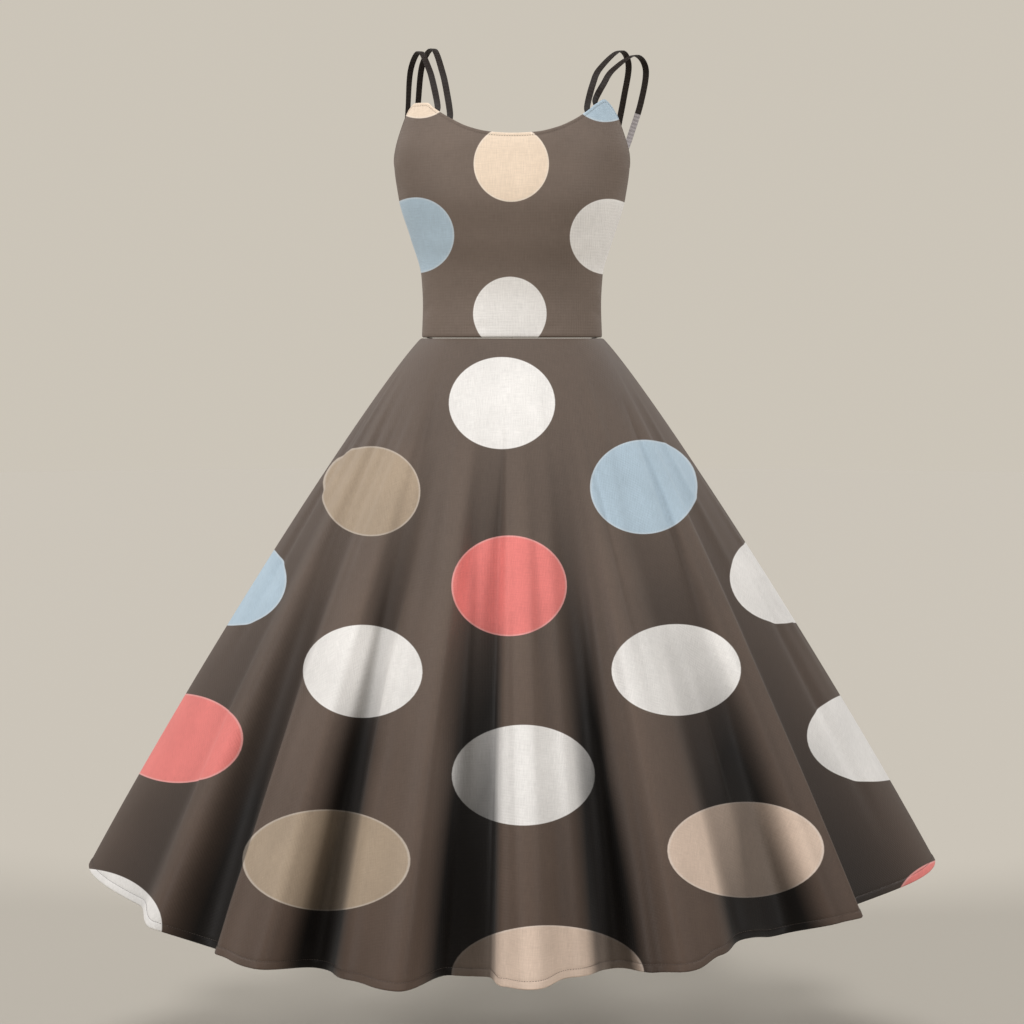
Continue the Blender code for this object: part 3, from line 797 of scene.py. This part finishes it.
def build_bodice_panel(name, first, last, step, materials):
    angle, share = np.meshgrid(panel_columns(first, last, step), bodice_rows())
    height = share * top_height(angle)
    points = bodice_surface(angle, height)
    run = run_along(points)
    seam_x = smooth(BODICE_SECTIONS, height, 1)
    distances = elevation_dots(BODICE_DOTS, angle, points, seam_x, BODICE_TURN)
    edge, colour = nearest_dot(distances, BODICE_DOTS)
    below = top_height(angle) - height
    to_seam = np.minimum(run, run[:, -1:] - run)
    relief = bodice_creases(angle, height, points)
    relief += roll(height, SEAM_REACH, SEAM_ROLL) + roll(to_seam, SEAM_REACH, SEAM_ROLL)
    groove = np.exp(-((below - NECK_STITCH) / 0.0010) ** 2)
    relief += roll(below, 0.0020, 0.0010) - NECK_GROOVE * groove
    relief += NECK_LIFT * np.clip((NECK_STITCH - below) / 0.001, 0, 1)
    relief[:, [0, -1]] -= ALLOWANCE
    relief[0] -= ALLOWANCE
    points += outward(bodice_share_surface, angle, share, 1.0, 0.02) * relief[..., None]
    part_seams(points, [0, 1], 1)
    cut = np.stack((run - run[:, -1:] / 2, height), axis=-1)
    cut[0, :, 1] -= ALLOWANCE
    cut[:, 0, 0] -= ALLOWANCE
    cut[:, -1, 0] += ALLOWANCE
    attributes = {
        "dot_edge": edge,
        "dot_colour": colour,
        "painted_fold_shade": np.zeros_like(angle),
        # painted shade where the cloth turns into a seam
        "ground_painted_shade": painted_seam_shade(to_seam, height),
    }
    piece = grid_mesh(name, points, cut, attributes, materials)
    apply_thickness(piece, CLOTH)
    return piece


# ---------------------------------------------------------------- stitches
def stitch_mesh(name, places, aheads, outs, material):
    """Short rounded stitches, one at each place."""
    across = np.cross(aheads, outs)
    profile = ((-0.5, 0.0), (-0.3, 0.9), (0.3, 0.9), (0.5, 0.0))
    vertices, faces = [], []
    for along, size in profile:
        centre = places + aheads * along * STITCH_LENGTH
        radius = STITCH_WIDTH / 2 * size
        for side, lift in ((1, 0), (0, 1), (-1, 0), (0, -1)):
            vertices.append(centre + across * side * radius + outs * lift * radius)
    count = len(places)
    vertices = np.stack(vertices, axis=1).reshape(-1, 3)
    for stitch in range(count):
        base = stitch * 16
        for ring in range(3):
            for k in range(4):
                a, b = base + ring * 4 + k, base + ring * 4 + (k + 1) % 4
                faces.append((a, b, b + 4, a + 4))
    mesh = bpy.data.meshes.new(name)
    mesh.from_pydata(vertices.tolist(), [], faces)
    mesh.shade_smooth()
    mesh.materials.append(material)
    piece = bpy.data.objects.new(name, mesh)
    bpy.context.scene.collection.objects.link(piece)
    weld = piece.modifiers.new("ends", "WELD")
    weld.merge_threshold = 0.00002
    return piece


def stitch_row(name, curve, outs, material):
    """Stitches at an even pitch along a dense row of points."""
    steps = np.linalg.norm(np.diff(curve, axis=0), axis=1)
    run = np.concatenate(([0.0], np.cumsum(steps)))
    stops = np.arange(STITCH_PITCH, run[-1] - STITCH_PITCH, STITCH_PITCH)
    places = np.stack([np.interp(stops, run, curve[:, k]) for k in range(3)], axis=1)
    ahead = np.stack([np.interp(stops + STITCH_PITCH / 2, run, curve[:, k]) for k in range(3)], axis=1)
    ahead -= places
    ahead /= np.linalg.norm(ahead, axis=1, keepdims=True)
    out = np.stack([np.interp(stops, run, outs[:, k]) for k in range(3)], axis=1)
    out /= np.linalg.norm(out, axis=1, keepdims=True)
    return stitch_mesh(name, places, ahead, out, material)


def build_hem_stitches(name, first, last, material):
    angle = np.linspace(first + 0.4, last - 0.4, int((last - first) * 20))
    share = np.full_like(angle, 1 - HEM_DEPTH / SLANT)
    out = outward(skirt_surface, angle, share, 0.4, 0.01)
    curve = skirt_surface(angle, share) + out * (HEM_LIFT / 2 - 0.0004)
    return stitch_row(name, curve, out, material)


def build_neck_stitches(name, first, last, material):
    angle = np.linspace(first + 1.0, last - 1.0, int((last - first) * 12))
    top = top_height(angle)
    share = 1 - NECK_STITCH / top
    out = outward(bodice_share_surface, angle, share, 1.0, 0.02)
    curve = bodice_share_surface(angle, share) - out * 0.0003
    return stitch_row(name, curve, out, material)


# ---------------------------------------------------------------- straps
def tucked_points(angle, depths):
    """Points behind the bodice's top edge where a strap's end is sewn, and the way its face looks."""
    inset = WALL + STRAP_CLEAR + STRAP_THICK / 2
    points = []
    for depth in depths:
        share = np.array([1 - depth / float(top_height(angle))])
        place = np.array([float(angle)])
        out = outward(bodice_share_surface, place, share, 1.0, 0.02)[0]
        point = bodice_share_surface(place, share)[0] - out * inset
        points.append((Vector(point), Vector(out)))
    return points


def route_points(route):
    points = []
    for x, y, height, turn in route:
        face = Vector((0, y, height - SHOULDER_MIDDLE)).normalized()
        face.rotate(Quaternion((0, 0, 1), math.radians(turn)))
        points.append((Vector((x, y, WAIST_Z + height)), face))
    return points


def curve_through(points, steps):
    padded = [2 * points[0] - points[1], *points, 2 * points[-1] - points[-2]]
    route = []
    for a, b, c, d in zip(padded, padded[1:], padded[2:], padded[3:]):
        for k in range(steps):
            t = k / steps
            route.append(0.5 * (
                2 * b + (c - a) * t + (2 * a - 5 * b + 4 * c - d) * t**2
                + (3 * b - a - 3 * c + d) * t**3
            ))
    return [*route, points[-1]]


def build_strap(name, materials, pale_end):
    """A ribbon over the shoulder; pale_end is the share of it at the back that shows its reverse."""
    front, back, route = STRAPS[name]
    stations = tucked_points(front, STRAP_DEPTHS) + route_points(route)
    stations += tucked_points(back, STRAP_DEPTHS[::-1])
    centres = curve_through([place for place, _ in stations], CURVE_STEPS)
    faces = curve_through([face for _, face in stations], CURVE_STEPS)
    lanes = (-0.5, -0.47, -0.36, -0.12, 0.12, 0.36, 0.47, 0.5)
    points, cut, run = [], [], 0.0
    for i, (centre, face) in enumerate(zip(centres, faces)):
        ahead = (centres[min(i + 1, len(centres) - 1)] - centres[max(i - 1, 0)]).normalized()
        side = ahead.cross(face).normalized()
        out = side.cross(ahead).normalized()
        if i:
            run += (centre - centres[i - 1]).length
        points.append([centre + side * lane * STRAP_WIDTH + out * RIBBON_CROWN * (1 - (2 * lane) ** 4)
                       for lane in lanes])
        cut.append([(lane * STRAP_WIDTH, run) for lane in lanes])
    piece = grid_mesh(name + "_ribbon", np.array(points), np.array(cut), {}, materials)
    rows = len(centres) - 1
    for polygon in piece.data.polygons:
        if polygon.index // (len(lanes) - 1) > rows * (1 - pale_end):
            polygon.material_index = 1
    wall = piece.modifiers.new("ribbon", "SOLIDIFY")
    wall.thickness = RIBBON_THICK
    wall.offset = 0.0
    wall.use_rim = True
    return piece


# ---------------------------------------------------------------- the dress
def build_dress():
    face, reverse, thread = cloth_material(), reverse_material(), thread_material()
    ribbon = ribbon_material("strap_ribbon_face", (0.019, 0.0125, 0.0095))
    tab = ribbon_material("strap_ribbon_tab", (0.34, 0.31, 0.31))
    pieces = {}
    for name, first, last, step in (
        ("skirt_front", -90, 90, 0.55),
        ("skirt_back_right", 90, 180, 0.75),
        ("skirt_back_left", 180, 270, 0.75),
    ):
        pieces[name] = build_skirt_panel(name + "_cloth", first, last, step, (face, reverse))
        pieces[name + "_hem"] = build_hem_stitches(name + "_hem_stitches", first, last, thread)
    for name, first, last in (
        ("bodice_front", -90, 90),
        ("bodice_back_right", 90, 180),
        ("bodice_back_left", 180, 270),
    ):
        pieces[name] = build_bodice_panel(name + "_cloth", first, last, 1.0, (face, reverse))
        pieces[name + "_edge"] = build_neck_stitches(name + "_edge_stitches", first, last, thread)
    for name in STRAPS:
        pale_end = 0.34 if name == "strap_right_outer" else 0.0
        pieces[name] = build_strap(name, (ribbon, tab), pale_end)
    for name, piece in pieces.items():
        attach(piece, "root")
        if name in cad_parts:
            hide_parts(name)
    return pieces


# ---------------------------------------------------------------- the studio
def build_studio():
    for name, azimuth, elevation, softness, strength in LIGHTS:
        lamp = bpy.data.lights.new(name, "SUN")
        lamp.angle = math.radians(softness)
        lamp.energy = strength
        light = bpy.data.objects.new(name, lamp)
        a, e = math.radians(azimuth), math.radians(elevation)
        way = Vector((math.sin(a) * math.cos(e), -math.cos(a) * math.cos(e), math.sin(e)))
        light.location = way * CAMERA_BACK
        light.rotation_mode = "QUATERNION"
        light.rotation_quaternion = way.to_track_quat("Z", "Y")
        bpy.context.scene.collection.objects.link(light)
    build_world()
    build_floor()
    build_camera()


def build_world():
    world = bpy.data.worlds.new("studio")
    world.use_nodes = True
    nodes, links = world.node_tree.nodes, world.node_tree.links
    nodes["Background"].inputs["Color"].default_value = BACKDROP
    seen = nodes.new("ShaderNodeLightPath")
    strength = map_range(nodes, links, seen.outputs["Is Camera Ray"], 0.0, 1.0, SURROUND, 1.0)
    links.new(strength, nodes["Background"].inputs["Strength"])
    bpy.context.scene.world = world


def build_floor():
    bpy.ops.mesh.primitive_circle_add(vertices=96, radius=14, fill_type="NGON")
    floor = bpy.context.object
    floor.name = "floor"
    floor.location = (0, 0, CAD_BOX[0][2] - FLOOR_DROP)
    material, nodes, links = new_material("pale_floor")
    shader = nodes["Principled BSDF"]
    noise = add_node(nodes, "ShaderNodeTexNoise", Scale=1.2, Detail=3.0)
    tone = nodes.new("ShaderNodeValToRGB")
    tone.color_ramp.elements[0].color = (0.456, 0.421, 0.366, 1)
    tone.color_ramp.elements[1].color = (0.464, 0.429, 0.374, 1)
    links.new(noise.outputs["Fac"], tone.inputs["Fac"])
    links.new(tone.outputs["Color"], shader.inputs["Base Color"])
    shader.inputs["Roughness"].default_value = 0.9
    floor.data.materials.append(material)


def build_camera():
    data = bpy.data.cameras.new("camera")
    data.lens = CAMERA_LENS
    data.sensor_width = 36
    camera = bpy.data.objects.new("camera", data)
    camera.location = (0, -CAMERA_BACK, WAIST_Z)
    camera.rotation_euler = (math.pi / 2 - CAMERA_TILT, 0, 0)
    bpy.context.scene.collection.objects.link(camera)
    bpy.context.scene.camera = camera


bpy.context.scene.view_settings.view_transform = "Standard"
dress = build_dress()
build_studio()
